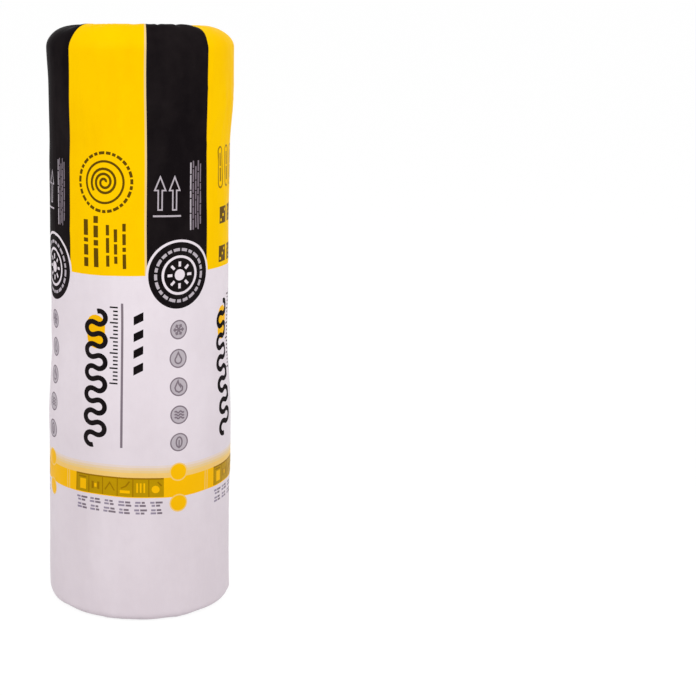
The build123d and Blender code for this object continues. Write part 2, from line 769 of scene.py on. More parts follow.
class Motif(Enum):
    """Plain signs for the round marks on the film."""

    SUN = 0
    FLAKE = 1
    DROP = 2
    FLAME = 3
    WAVES = 4
    LEAF = 5
    COIL = 6

    def paths(self) -> list[tuple[np.ndarray, bool, float]]:
        """The lines of the sign, about its centre and at half its width of 1.

        Returns:
            For each line its points, True if it closes, and how thick it is beside the others.
        """
        half = np.linspace(0.0, pi, 9)
        if self is Motif.SUN:
            rays = [around(0.0, 0.0, 1.0, np.array([turn])) for turn in np.arange(8) * pi / 4]
            return [(np.vstack([ray * 0.62, ray]), False, 1.0) for ray in rays]
        if self is Motif.FLAKE:
            rays = around(0.0, 0.0, 1.0, np.arange(6) * pi / 3)
            bars = [(np.array([-ray, ray]), False, 1.0) for ray in rays[:3]]
            for ray in rays:
                side = np.array([-ray[1], ray[0]]) * 0.28
                knee, tip = ray * 0.5, ray * 0.8
                bars.append((np.array([tip + side, knee, tip - side]), False, 0.9))
            return bars
        if self is Motif.DROP:
            arc = around(0.0, -0.25, 0.6, np.linspace(-0.75 * pi, 0.75 * pi, 14) - pi / 2)
            return [(np.vstack([arc, (0.0, 1.0)]), True, 1.0)]
        if self is Motif.FLAME:
            points = [(0, -0.95), (0.6, -0.6), (0.68, -0.05), (0.34, 0.35), (0.3, 0.02)]
            points += [(0.05, 0.4), (-0.1, 1.0), (-0.45, 0.35), (-0.7, -0.15), (-0.55, -0.65)]
            return [(np.array(points), True, 1.0)]
        if self is Motif.WAVES:
            across = np.linspace(-0.85, 0.85, 15)
            ripple = 0.14 * np.sin(across * 7.4)
            lifts = (-0.5, 0.0, 0.5)
            return [(np.column_stack([across, lift + ripple]), False, 1.0) for lift in lifts]
        if self is Motif.LEAF:
            bow = np.column_stack([0.52 * np.sin(half), -np.cos(half) * 0.9])
            edge = np.vstack([bow, bow[::-1][1:-1] * (-1.0, 1.0)])
            return [(edge, True, 1.0), (np.array([(0.0, -1.1), (0.0, 0.4)]), False, 0.9)]
        turn = np.linspace(0.0, 5.2 * pi, 64)
        return [(around(0.0, 0.0, 0.12 + 0.88 * turn / turn[-1], turn), False, 1.0)]

    def shapes(self, centre: Pair, size: float, line: float) -> list[Shape]:
        """Draws the sign.

        Args:
            centre: its centre on the film.
            size: half its width.
            line: the width of its lines.

        Returns:
            Its shapes.
        """
        drawn = [[circle(*centre, size * 0.42)]] if self is Motif.SUN else []
        for path, closed, share in self.paths():
            drawn.append(stroke(path * size + centre, line * share, closed))
        return drawn


@dataclass
class FilmPrint:
    """The pattern on the film: broad stripes, a band, and plain marks between them.

    Places are millimetres across the film from a dark stripe's left edge, and up the
    film in the roll's own height. What is added later lies over what is there.
    """

    repeat: float = 308.4
    start: float = 14.3
    copies: int = 2
    dark_width: float = 136.3
    stripe_reach: Span = (720.0, 1400.0)
    band: Triple = (266.0, 310.0, 334.0)
    strip_overlap: float = 2.2
    strip_tops: Triple = (329.0, 323.5, 318.0)
    tiles: Edges = (-151.0, 33.6, 268.0, 308.0)
    tile_step: float = 31.2
    tile_line: float = 2.0
    tile_rim: float = 3.4
    tile_centre: Pair = (14.3, 287.0)
    dash_levels: Edges = (254.0, 247.5, 238.0, 231.5)
    dash_height: float = 4.2
    bar_gap_share: float = 0.06
    ring_centre: Pair = (-86.0, 902.0)
    badge_centre: Pair = (68.4, 718.5)
    patches: list[tuple[Ink, Shape]] = field(default_factory=list)
    origin: float = 0.0

    def add(self, ink: Ink, loops: Shape) -> None:
        """Lays one shape over what is there; a loop inside another cuts a hole."""
        self.patches.append((ink, [loop + (self.origin, 0.0) for loop in loops]))

    def block(self, ink: Ink, x0: float, x1: float, y0: float, y1: float) -> None:
        """Lays an upright rectangle between two edges across the film and two up it."""
        self.add(ink, [box(x0, x1, y0, y1)])

    def discs(self, ink: Ink, centre: Pair, *radii: float) -> None:
        """Lays a disc, or a ring where two radii are given."""
        self.add(ink, [circle(*centre, radius) for radius in radii])

    def sign(self, ink: Ink, motif: Motif, centre: Pair, size: float, line: float) -> None:
        """Lays the lines of a sign with half its width as its size."""
        for loops in motif.shapes(centre, size, line):
            self.add(ink, loops)

    def bars(
        self, ink: Ink, edges: Edges, cuts: tuple[float, ...], gap: float = 5.0
    ) -> None:
        """An upright row of plain bars.

        Args:
            ink: their ink.
            edges: left and right edge, and the lower and upper end of the row.
            cuts: where the row is broken, as shares of its length.
            gap: how long each break is, at most.
        """
        left, right, low, high = edges
        gap = min(gap, self.bar_gap_share * (high - low))
        stops = [0.0, *cuts, 1.0]
        for start, end in zip(stops, stops[1:]):
            lower = low + start * (high - low) + (gap / 2 if start else 0.0)
            upper = low + end * (high - low) - (gap / 2 if end < 1 else 0.0)
            self.block(ink, left, right, lower, upper)

    def dashed_ring(self, ink: Ink, centre: Pair, radii: Pair, count: int) -> None:
        """A ring of dashes of three lengths.

        Args:
            ink: its ink.
            centre: its centre.
            radii: its inner and outer radius.
            count: how many dashes it has.
        """
        lengths, gap = (0.8, 0.5, 0.66), 0.22
        dashes = [lengths[i % 3] for i in range(count)]
        unit = 360.0 / (sum(dashes) + gap * count)
        start = 90.0
        for dash in dashes:
            end = start + dash * unit
            self.add(ink, [sector(centre, radii, start, end)])
            start = end + gap * unit

    def stripes(self) -> None:
        """The broad stripes, from their lower end up over the top."""
        self.block(Ink.YELLOW, self.dark_width - self.repeat, 0.0, *self.stripe_reach)
        self.block(Ink.BLACK, -1.0, self.dark_width, *self.stripe_reach)
        self.block(Ink.STRAW, -4.4, -0.4, *self.stripe_reach)

    def dark_stripe_marks(self) -> None:
        """Two arrows over a line, and fine rules beside them."""
        foot, neck, tip, barb, stem, line = 850.0, 888.0, 914.0, 11.0, 4.0, 2.8
        for middle in (26.0, 56.0):
            head = [(middle - barb, neck), (middle, tip), (middle + barb, neck)]
            left, right = middle - stem, middle + stem
            tail = [(right, neck), (right, foot), (left, foot), (left, neck)]
            self.add(Ink.PALE, stroke(head + tail, line, closed=True))
        self.block(Ink.PALE, 12.0, 70.0, 836.0, 839.5)
        rng = np.random.default_rng(SEED)
        ends = [(808, 940), (808, 943), (812, 932), (808, 943), (818, 936)]
        first, step, width, gap = 91.0, 6.2, 3.3, 2.2
        for i, (low, high) in enumerate(ends):
            left = first + step * i
            cuts = np.cumsum(rng.uniform(0.1, 0.26, 5))
            ink = Ink.SLATE if i else Ink.PALE
            self.bars(ink, (left, left + width, low, high), (*cuts[cuts < 0.92],), gap)

    def badge_mark(self) -> None:
        """The round mark over the lower end of the dark stripe."""
        self.discs(Ink.BARE, self.badge_centre, 71.5)
        self.discs(Ink.BLACK, self.badge_centre, 66.5)
        self.dashed_ring(Ink.PALE, self.badge_centre, (48.5, 54.5), 21)
        self.discs(Ink.BARE, self.badge_centre, 39.5, 34.5)
        self.sign(Ink.BARE, Motif.SUN, self.badge_centre, 27.0, 5.4)

    def roll_mark(self) -> None:
        """A ring with a coil in it, and rows of bars under it."""
        self.dashed_ring(Ink.UMBER, self.ring_centre, (53.5, 59.4), 27)
        self.discs(Ink.UMBER, self.ring_centre, 42.3, 37.7)
        self.sign(Ink.UMBER, Motif.COIL, self.ring_centre, 29.0, 5.1)
        for left, width, low, high, cuts in (
            (-134.0, 10.5, 736.0, 828.0, (0.22, 0.5, 0.64)),
            (-110.0, 10.5, 736.0, 836.0, (0.4, 0.56, 0.84)),
            (-82.5, 7.0, 738.0, 820.0, (0.3, 0.72)),
            (-65.5, 7.0, 744.0, 812.0, (0.24, 0.6)),
            (-48.0, 7.0, 734.0, 823.0, (0.35, 0.5, 0.8)),
        ):
            self.bars(Ink.UMBER, (left, left + width, low, high), cuts)

    def block_marks(self) -> None:
        """Round-ended outlines and two pairs of chequered squares."""
        for left in (-134.0, -100.0, -66.0):
            ring = capsule(left, left + 22.0, 880.0, 964.0)
            inner = capsule(left + 3.8, left + 18.2, 883.8, 960.2)
            self.add(Ink.OCHRE, [ring, inner])
            self.bars(Ink.OCHRE, (left + 8.0, left + 14.0, 894.0, 950.0), (0.5,))
        side, inset, step, cell = 34.0, 4.5, 9.5, 5.5
        for low in (730.0, 810.0):
            for left in (-128.0, -84.0):
                self.block(Ink.UMBER, left, left + side, low, low + side)
                for i, j in np.ndindex(3, 3):
                    if (i + 2 * j + int(left)) % 3 == 1 or i == j == 1:
                        x, y = left + inset + step * i, low + inset + step * j
                        self.block(Ink.YELLOW, x, x + cell, y, y + cell)

    def batt_sign(self) -> None:
        """The looped line that stands for a soft insulation batt."""
        middle, half, bend, reach = -107.5, 8.0, 13.4, radians(110.0)
        foot, line, patch, loops = 385.0, 10.4, 20.5, 12
        rise = 2 * bend * sin(reach) + 2 * (half + bend * cos(reach)) / np.tan(reach)
        turn = np.linspace(-reach, reach, 15)
        path = []
        for i in range(loops):
            side = 1.0 if i % 2 else -1.0
            across = middle + side * (half + bend * np.cos(turn))
            path.append(np.column_stack([across, foot + rise * i + bend * np.sin(turn)]))
        self.add(Ink.BAND, [capsule(middle - patch, middle + patch, 571.0, 640.0)])
        self.add(Ink.BLACK, stroke(np.vstack(path), line))

    def scale_marks(self) -> None:
        """A rule with a tick scale on its left and slanted blocks on its right."""
        self.block(Ink.SLATE, -53.6, -48.8, 371.0, 666.0)
        first, step, thick, right, long, short = 502.0, 7.7, 3.2, -60.0, 17.0, 10.0
        for i in range(21):
            left, level = right - (short if i % 4 else long), first + step * i
            self.block(Ink.BLACK, left, right, level, level + thick)
        first, step, slant, tall, left, right = 521.0, 34.0, 10.0, 17.0, -28.0, -8.0
        for i in range(4):
            low = first + step * i
            near, far = (low, low + tall), (low + slant, low + slant + tall)
            corners = [(left, near[0]), (right, far[0]), (right, far[1]), (left, near[1])]
            self.add(Ink.BLACK, [np.array(corners)])

    def roundels(self) -> None:
        """Five small round signs in a column."""
        signs = (Motif.FLAKE, Motif.DROP, Motif.FLAME, Motif.WAVES, Motif.LEAF)
        outer, inner, points, half, line = 19.4, 16.6, 32, 12.0, 3.3
        for i, sign in enumerate(signs):
            x, y = 68.0 - 0.7 * i, 610.5 - 57.6 * i
            self.add(Ink.SLATE, [circle(x, y, outer, points), circle(x, y, inner, points)])
            self.add(Ink.PALE, [circle(x, y, inner, points)])
            self.sign(Ink.SLATE, sign, (x, y), half, line)

    def band_marks(self) -> None:
        """The yellow band with its fading strip, tiles, rows of short dashes and discs."""
        low, middle, high = self.band
        left, right = self.dark_width - self.repeat, self.dark_width
        self.block(Ink.BAND, left, right, low, middle)
        inks = (Ink.CREAM, Ink.SAND, Ink.STRAW, Ink.PEACH)
        for ink, level in zip(inks, (high, *self.strip_tops)):
            self.block(ink, left, right, middle - self.strip_overlap, level)
        for x in (127.7, 133.9):
            self.block(Ink.PEACH, x, x + 1.8, low, middle - self.strip_overlap)
        self.tile_row()
        for centre in ((64.0, 318.0), (63.6, 252.5)):
            self.discs(Ink.PEACH, centre, 19.0)
            self.discs(Ink.BAND, centre, 16.4)

    def tile_row(self) -> None:
        """Six tiles on the band, each with its sign and rows of dashes under it."""
        left, right, low, high = self.tiles
        self.block(Ink.OLIVE, left, right, low, high)
        self.block(Ink.OCHRE, left, right, high - self.tile_rim, high)
        across, up = self.tile_centre
        for i, signs in enumerate(self.tile_signs()):
            x = left + self.tile_step * i
            self.block(Ink.OCHRE, x - self.tile_line, x, low, high)
            for ink, loops in signs:
                self.add(ink, [loop + (x + across, up) for loop in loops])
            for row, level in enumerate(self.dash_levels):
                top = level + self.dash_height
                inset = (i * 3 + row * 5) % 7
                cut = x + 10.0 + (i + row) % 5
                self.block(Ink.LILAC, x + 1.0 + inset / 2, cut, level, top)
                self.block(Ink.SLATE, cut + 2.0, x + 27.0 - inset, level, top)

    @staticmethod
    def tile_signs() -> list[list[tuple[Ink, Shape]]]:
        """Plain signs for the six tiles, each drawn about its own centre.

        Returns:
            The inks and shapes of each sign.
        """
        posts = [box(-9, -4, -9, 7), box(4, 9, -9, 7)]
        arch = stroke([(-10, -8), (0, 8), (10, -8)], 2.6)
        hook = stroke([(-8, -2), (2, 3), (9, 13)], 3.0)
        return [
            [(Ink.BAND, [box(-6, 9, -13, 9)]), (Ink.OCHRE, [box(-10, 10, 12, 15)])],
            [(Ink.OCHRE, posts), (Ink.BAND, [box(-2.5, 2.5, -5, 3)])],
            [(Ink.OCHRE, arch)],
            [(Ink.BAND, [box(-10, 10, -12, -6)]), (Ink.OCHRE, hook)],
            [(Ink.BAND, [box(x - 1.6, x + 1.6, -10, 10)]) for x in (-7.0, 0.0, 7.0)],
            [(Ink.BAND, [circle(-2, -3, 8.0)]), (Ink.OCHRE, stroke([(2, 13), (10, 4)], 3.0))],
        ]

    def draw(self) -> list[tuple[Ink, Shape]]:
        """Lays out every repeat round the roll.

        Returns:
            The shapes in the order in which they cover each other.
        """
        indices = range(-self.copies, self.copies + 1)
        for index in indices:
            self.origin = self.start + self.repeat * index
            self.stripes()
            self.band_marks()
        for index in indices:
            self.origin = self.start + self.repeat * index
            self.dark_stripe_marks()
            if index % 2:
                self.block_marks()
            else:
                self.roll_mark()
            self.badge_mark()
            self.batt_sign()
            self.scale_marks()
            self.roundels()
        return self.patches


# Film sheet


@dataclass
class FlatSheet:
    """The film before it is hung: its cut size, its print and its triangles.

    Places on it are millimetres across from its middle, and up the roll's outer line.
    """

    shape: RollShape
    radius: float = 186.0
    lap: float = 18.7
    side_step: Pair = (5.3, 4.9)
    end_step: Pair = (3.4, 3.3)
    end_lead: float = 4.0
    edge_step: float = 4.6
    edge_hold: float = 30.0
    drift_across: Swell = Swell(2.4, 140.0, 190.0, 3.7)
    drift_up: Swell = Swell(3.2, 130.0, 160.0, 9.1)
    band_rise: float = 3.2
    band_rise_range: Span = (24.0, 50.0)
    band_level: float = 288.0
    band_reach: float = 70.0
    weld: float = 0.02

    @property
    def half_width(self) -> float:
        """Half the width that the sheet was cut to."""
        return radians(180.0 + self.lap / 2) * self.radius

    def walked(self, loop: Loop) -> Loop:
        """Adds points on a loop's long runs.

        Args:
            loop: the outline.

        Returns:
            The outline with no run over the edge step.
        """
        points = []
        for start, end in zip(loop, np.roll(loop, -1, 0)):
            parts = max(1, int(np.ceil(np.linalg.norm(end - start) / self.edge_step)))
            share = np.arange(parts)[:, None] / parts
            points.append(start + (end - start) * share)
        return np.vstack(points)

    def cut(self, loop: Loop) -> Loop | None:
        """Fits a loop to the sheet.

        Args:
            loop: the outline.

        Returns:
            The outline on the sheet, or None where it is off it, and where it crosses the
            sheet's edge and isn't a plain rectangle.
        """
        low, high = self.shape.reach
        width = self.half_width
        left, right = loop[:, 0].min(), loop[:, 0].max()
        off = left >= width - 1 or right <= -width + 1
        crosses = left < -width or right > width
        if off or (crosses and len(loop) > 4):
            return None
        return np.clip(loop, (-width, low), (width, high))

    def drawn(self, loop: Loop) -> Loop:
        """Shifts a printed line a little, as film does when it shrinks.

        Args:
            loop: the outline.

        Returns:
            The outline with its points moved by a few millimetres, and not at all at the
            sheet's edges.
        """
        low, high = self.shape.reach
        across, up = loop[:, 0], loop[:, 1]
        angle = across / self.radius
        place = wrapped(angle, self.radius, up) * (1.0, -1.0, 1.0)
        hold = np.minimum(self.half_width - np.abs(across), self.edge_hold) / self.edge_hold
        hold *= np.clip(np.minimum(high - up, up - low), 0.0, self.edge_hold) / self.edge_hold
        band = np.exp(-(((up - self.band_level) / self.band_reach) ** 2))
        rise = self.band_rise * smooth(np.degrees(angle), *self.band_rise_range) * band
        aside = self.drift_across.over(place)
        along = self.drift_up.over(place) + rise
        return loop + np.column_stack([hold * aside, hold * along])

    def printed(self) -> list[tuple[Ink, Shape]]:
        """The print's shapes that lie on the sheet.

        Returns:
            The shapes, in the order in which they cover each other.
        """
        patches = []
        for ink, loops in FilmPrint().draw():
            kept = [self.cut(loop) for loop in loops]
            if all(loop is not None for loop in kept):
                patches.append((ink, [self.drawn(self.walked(loop)) for loop in kept]))
        return patches

    def grid(self) -> np.ndarray:
        """Points over the sheet, in staggered rows, closer over the ends.

        Returns:
            The points.
        """
        low, high = self.shape.reach
        side_low, side_high = self.shape.low + self.end_lead, self.shape.high - self.end_lead
        rows = []
        level, odd = low, False
        while level < high - 1.0:
            over_end = level < side_low or level > side_high
            step, rise = self.end_step if over_end else self.side_step
            count = int(round(2 * self.half_width / step))
            across = np.linspace(-self.half_width, self.half_width, count + 1)
            if odd:
                across = np.concatenate([across[:1], (across[1:] + across[:-1]) / 2, across[-1:]])
            if level > low:
                rows.append(np.column_stack([across[1:-1], np.full(len(across) - 2, level)]))
            level += rise
            odd = not odd
        return np.vstack(rows)

    def cells(self, spots: np.ndarray) -> tuple[np.ndarray, np.ndarray]:
        """The row and column of each spot, where the sheet is ruled into millimetres."""
        index = np.rint(spots + (self.half_width, -self.shape.reach[0])).astype(int)
        return index[:, 1], index[:, 0]

    def clear_grid(self, lines: list[Loop]) -> np.ndarray:
        """The grid's points that keep clear of the printed lines by a millimetre or two.

        Args:
            lines: the outlines.

        Returns:
            The points.
        """
        low, high = self.shape.reach
        near = np.zeros((int(high - low) + 8, int(2 * self.half_width) + 8), bool)
        for loop in lines:
            step = np.roll(loop, -1, 0) - loop
            for share in np.linspace(0.0, 1.0, 6)[:-1]:
                near[self.cells(loop + step * share)] = True
        beside = [np.roll(near, shift, axis) for shift in (1, -1) for axis in (0, 1)]
        grid = self.grid()
        return grid[~np.any([near, *beside], axis=0)[self.cells(grid)]]

    def triangles(self, lines: list[Loop]) -> tuple[np.ndarray, np.ndarray]:
        """Cuts the sheet into triangles along the printed lines.

        Args:
            lines: the sheet's own outline and the print's.

        Returns:
            The points and the triangles.
        """
        edges, count = [], 0
        for loop in lines:
            index = np.arange(count, count + len(loop))
            edges.append(np.column_stack([index, np.roll(index, -1)]))
            count += len(loop)
        spots = [Vector(spot) for spot in np.vstack([*lines, self.clear_grid(lines)]).tolist()]
        result = delaunay_2d_cdt(spots, np.vstack(edges).tolist(), [], 0, self.weld, False)
        flat = np.array([tuple(spot) for spot in result[0]])
        return flat, np.array([face for face in result[2] if len(face) == 3])

    @staticmethod
    def ink_numbers(
        middles: np.ndarray, patches: list[tuple[Ink, Shape]], inks: list[Ink]
    ) -> np.ndarray:
        """Finds which ink each triangle has.

        Args:
            middles: the triangles' middles.
            patches: the print's shapes.
            inks: the inks in the order of their numbers.

        Returns:
            Each triangle's ink number.
        """
        number = np.full(len(middles), inks.index(Ink.BARE))
        for ink, loops in patches:
            corners = np.vstack(loops)
            near = (middles > corners.min(axis=0)) & (middles < corners.max(axis=0))
            maybe = np.flatnonzero(near.all(axis=1))
            number[maybe[covered(middles[maybe], loops)]] = inks.index(ink)
        return number

    def meshed(self, inks: list[Ink]) -> tuple[np.ndarray, np.ndarray, np.ndarray]:
        """Prints the sheet and cuts it into triangles.

        Args:
            inks: the inks in the order of their numbers.

        Returns:
            The points, the triangles and each triangle's ink number.
        """
        patches = self.printed()
        edge = self.walked(box(-self.half_width, self.half_width, *self.shape.reach))
        flat, faces = self.triangles([edge, *(loop for _, loops in patches for loop in loops)])
        return flat, faces, self.ink_numbers(flat[faces].mean(axis=1), patches, inks)


@dataclass
class Lay:
    """How the points of the sheet lie on the roll.

    Attributes:
        across: how far each is from the flat sheet's middle.
        run: how far along the roll's outer line it is.
        angle: how far round the roll it is, in radians.
        over_top: 0 on the side and 1 at the sheet's upper edge.
        over_base: 0 on the side and 1 at the sheet's lower edge.
        place: where it is on a plain tube, which the random patterns read.
    """

    across: np.ndarray
    run: np.ndarray
    angle: np.ndarray
    over_top: np.ndarray
    over_base: np.ndarray
    place: np.ndarray

    @property
    def over_end(self) -> np.ndarray:
        """How far over either end each point is, from 0 to 1."""
        return np.maximum(self.over_top, self.over_base)

    def facing(self, toward: float, spread: Span) -> np.ndarray:
        """1 on the side that is so many degrees round, easing to 0 away from it."""
        return smooth(np.cos(self.angle - radians(toward)), *spread)


@dataclass(frozen=True)
class Wrinkles:
    """Shallow bulges, dents, slanting creases and ripples on the side.

    The creases come in patches, and the ripples are calmer outside those patches.
    """

    fade: Span = (0.1, 0.6)
    bulges: Swell = Swell(2.2, 210.0, 330.0, 1.3)
    dents: Swell = Swell(1.7, 62.0, 120.0, 5.9)
    ripples: Swell = Swell(0.5, 17.0, 60.0, 31.7)
    calm: float = 0.35
    patches: Swell = Swell(1.0, 110.0, 170.0, 17.3)
    patch_range: Span = (-0.1, 0.45)
    creases: Swell = Swell(2.6, 34.0, 150.0, 23.1)
    crease_height: float = 1.1
    crease_slant: float = 0.55

    def over(self, lay: Lay) -> np.ndarray:
        """Finds how far the film stands out.

        Args:
            lay: how the sheet lies.

        Returns:
            The distance for each point.
        """
        place = lay.place
        patch = smooth(self.patches.over(place), *self.patch_range)
        slanted = place + np.outer(lay.across, (0.0, 0.0, self.crease_slant))
        ridge = np.clip(1.0 - np.abs(self.creases.over(slanted)), 0.0, 1.0) ** 3
        depth = self.bulges.over(place) + self.dents.over(place)
        depth = depth + self.crease_height * ridge * patch
        depth = depth + self.ripples.over(place) * (self.calm + (1.0 - self.calm) * patch)
        return depth * (1.0 - smooth(lay.over_end, *self.fade))


@dataclass(frozen=True)
class Gathers:
    """The folds in which the film is drawn together over both ends.

    Each has its own height, as a share of the depth, and its own start, as a share of
    the way over the end.
    """

    count: int = 44
    depth: float = 6.0
    lean: float = 1.5
    skew: float = 0.62
    drift: Swell = Swell(1.3, 70.0, 750.0, 41.3)
    heights: Span = (0.45, 1.0)
    starts: Span = (0.1, 0.62)
    growth: float = 1.5

    def over(self, lay: Lay) -> tuple[np.ndarray, np.ndarray, np.ndarray]:
        """Finds the folds.

        Args:
            lay: how the sheet lies.

        Returns:
            For each point the size of its fold from 0 to 1, how far it is drawn in, and how
            far it leans aside.
        """
        rng = np.random.default_rng(SEED)
        turns = lay.angle / (2 * pi) * self.count + self.drift.over(lay.place)
        index = np.floor(turns).astype(int) % self.count
        share = turns - np.floor(turns)
        fold = 0.5 - 0.5 * np.cos(2 * pi * share**self.skew)
        fold = fold * rng.uniform(*self.heights, self.count)[index]
        start = rng.uniform(*self.starts, self.count)[index]
        grown = np.clip((lay.over_end - start) / (1.0 - start), 0.0, 1.0) ** self.growth
        return fold, fold * self.depth * grown, grown * self.lean * np.sin(2 * pi * share)


@dataclass(frozen=True)
class TopForm:
    """One lift or sink of the film where it goes over the top.

    Attributes:
        height: how far it stands out; below 0 it sinks in.
        rise: the shares of the way over the top at which it starts and is whole.
        toward: the side that it is on, in degrees round from the front.
        spread: cosines of the angle from that side at which it starts and is whole;
            below -1 it goes all round.
    """

    height: float
    rise: Span
    toward: float = 0.0
    spread: Span = (-3.0, -2.0)


@dataclass(frozen=True)
class TopLine:
    """The uneven crest that the film has at the top, and its shoulder on the left."""

    crest: Span = (0.22, 0.58)
    wave: Swell = Swell(2.4, 64.0, inf, 61.3)
    forms: tuple[TopForm, ...] = (
        TopForm(0.8, (0.22, 0.58)),
        TopForm(4.4, (0.22, 0.58), -6.0, (0.55, 0.74)),
        TopForm(-3.4, (0.58, 0.82), -6.0, (0.55, 0.74)),
        TopForm(-6.0, (0.78, 1.0)),
        TopForm(-2.2, (0.05, 0.4), 95.0, (0.5, 0.95)),
        TopForm(-6.5, (0.2, 0.7), 180.0, (-0.3, 0.8)),
    )
    shoulder: float = 2.7
    shoulder_toward: float = -60.0
    shoulder_spread: Span = (-0.2, 0.7)
    shoulder_start: Span = (-70.0, 20.0)
    shoulder_end: Span = (0.3, 0.7)

    def over(self, lay: Lay, side_end: float) -> np.ndarray:
        """Finds how far the film stands out.

        Args:
            lay: how the sheet lies.
            side_end: the height at which the roll's side ends.

        Returns:
            The distance for each point.
        """
        depth = self.wave.over(lay.place) * smooth(lay.over_top, *self.crest)
        for form in self.forms:
            near = lay.facing(form.toward, form.spread)
            depth = depth + form.height * near * smooth(lay.over_top, *form.rise)
        left = lay.facing(self.shoulder_toward, self.shoulder_spread)
        begun = smooth(lay.run - side_end, *self.shoulder_start)
        ended = smooth(lay.over_top, *self.shoulder_end)
        return depth + self.shoulder * left * (begun - ended)


@dataclass
class FilmWrapper:
    """One printed sheet round the wool, gathered over both ends and lapped at the back.

    The lap's ramp, the twist and the fan are degrees. The fan's side is a range of sines
    of the angle round the roll, and other ranges are shares of the way over an end.
    """

    shape: RollShape
    lap_ramp: float = 4.2
    lap_rise: float = 1.0
    slack: float = 0.4
    base_lift: float = 1.0
    base_lift_range: Span = (0.0, 0.3)
    top_slip: float = 0.034
    top_twist: float = -0.8
    top_fan: float = 4.0
    fan_side: Span = (0.0, 0.7)
    fan_range: Span = (0.12, 0.55)
    rags: tuple[Swell, ...] = (Swell(10.0, 46.0, inf, 47.9), Swell(5.0, 17.0, inf, 53.7))
    rag_range: Span = (0.55, 1.0)
    rag_draw: float = 1.2
    lean_radius: float = 60.0
    floor_gap: float = 0.15
    under_lap: float = 0.4
    wrinkles: Wrinkles = Wrinkles()
    gathers: Gathers = Gathers()
    top_line: TopLine = TopLine()

    def __post_init__(self) -> None:
        """Cuts the flat sheet for this shape."""
        self.sheet = FlatSheet(self.shape)

    @property
    def flat(self) -> Pair:
        """The sheet's cut size in metres."""
        low, high = self.shape.reach
        return 2 * self.sheet.half_width * MM, (high - low) * MM

    def laid(self, flat: np.ndarray) -> Lay:
        """Finds how the sheet's points lie on the roll.

        Args:
            flat: places on the sheet, across and along it.

        Returns:
            How they lie.
        """
        low, high = self.shape.reach
        side_low, side_high = self.shape.low, self.shape.high
        across, run = flat[:, 0], flat[:, 1]
        upper = self.shape.upper(run)
        over_top = np.clip((run - side_high) / (high - side_high), 0.0, 1.0)
        over_base = np.clip((side_low - run) / (side_low - low), 0.0, 1.0)
        angle = across / self.sheet.radius * (1.0 - self.top_slip * upper)
        angle = angle + radians(self.top_twist) * upper
        fan = radians(self.top_fan) * smooth(np.sin(angle), *self.fan_side)
        angle = angle + fan * smooth(over_top, *self.fan_range)
        place = wrapped(angle, self.sheet.radius, run)
        return Lay(across, run, angle, over_top, over_base, place)

    def hung(self, flat: np.ndarray) -> np.ndarray:
        """Hangs the flat sheet round the roll, with its wrinkles and gathers.

        Args:
            flat: places on the sheet, across and along it.

        Returns:
            The places in space, in metres.
        """
        lay = self.laid(flat)
        fold, drawn_in, aside = self.gathers.over(lay)
        edge = 180.0 - self.sheet.lap / 2
        layer = self.lap_rise * smooth(np.degrees(lay.angle), edge - self.lap_ramp, edge)
        depth = layer - self.slack - self.base_lift * smooth(lay.over_base, *self.base_lift_range)
        depth = depth + self.wrinkles.over(lay) + self.top_line.over(lay, self.shape.high)
        depth = depth - drawn_in
        radius, level, out, up = self.shape.outline(lay.run)
        ragged = sum(rag.over(lay.place) for rag in self.rags) - self.rag_draw * fold
        radius = radius + smooth(lay.over_end, *self.rag_range) * ragged
        turned = lay.angle + aside / np.maximum(radius, self.lean_radius)
        place = wrapped(turned, radius + out * depth, level + up * depth)
        lowest = self.floor_gap + self.under_lap * (self.lap_rise - layer)
        place[:, 2] = np.maximum(place[:, 2], lowest)
        return self.shape.leaned(place) * MM

    def build(self) -> bpy.types.Object:
        """Makes the sheet and dresses it.

        Returns:
            The piece.
        """
        inks = list(Ink)
        flat, faces, number = self.sheet.meshed(inks)
        mesh = new_mesh("film_sheet", self.hung(flat), faces.tolist())
        mesh.polygons.foreach_set("material_index", number.astype(np.int32))
        corner = (-self.sheet.half_width, self.shape.reach[0])
        spread = (flat[faces.ravel()] - corner) * MM / max(self.flat)
        mesh.uv_layers.new(name="OFBake").data.foreach_set("uv", spread.ravel())
        for ink in inks:
            mesh.materials.append(ink.value.material())
        return placed("film_sheet", mesh)


# Wool


